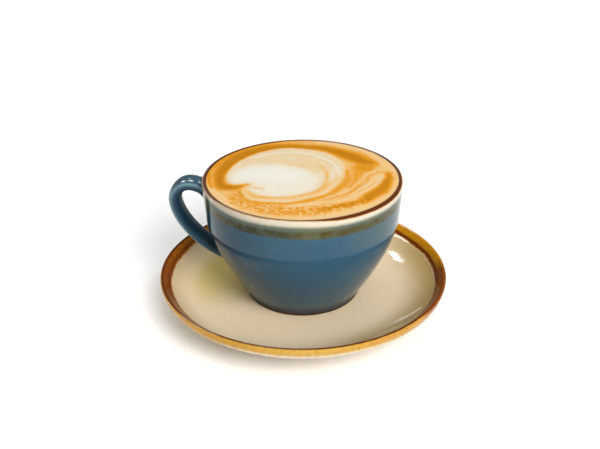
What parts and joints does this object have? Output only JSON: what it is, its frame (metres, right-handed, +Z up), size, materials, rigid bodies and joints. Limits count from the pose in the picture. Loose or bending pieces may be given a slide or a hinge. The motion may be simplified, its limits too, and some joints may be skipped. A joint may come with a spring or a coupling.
{
  "type": "latte in a cup with saucer",
  "caption": "Latte with a swirled milk top, filled to the lip of a rounded stoneware cup with an ear handle, standing on a shallow saucer with a rimmed edge.",
  "frame": {"origin": "on the table under the middle of the saucer's standing ring", "axes": "+Z up along the axis of the cup and saucer, the cup's handle points along -X"},
  "size_m": [0.1386, 0.1386, 0.0685],
  "materials": {
    "saucer_glaze": "glossy cream glaze that breaks to amber and brown at the edge",
    "cup_glaze": "glossy slate-blue glaze that breaks to olive, cream and brown at the lip",
    "milk_foam": null
  },
  "bodies": {
    "root": {"saucer": "saucer_glaze", "cup": "cup_glaze", "drink": "milk_foam"}
  },
  "joints": []
}
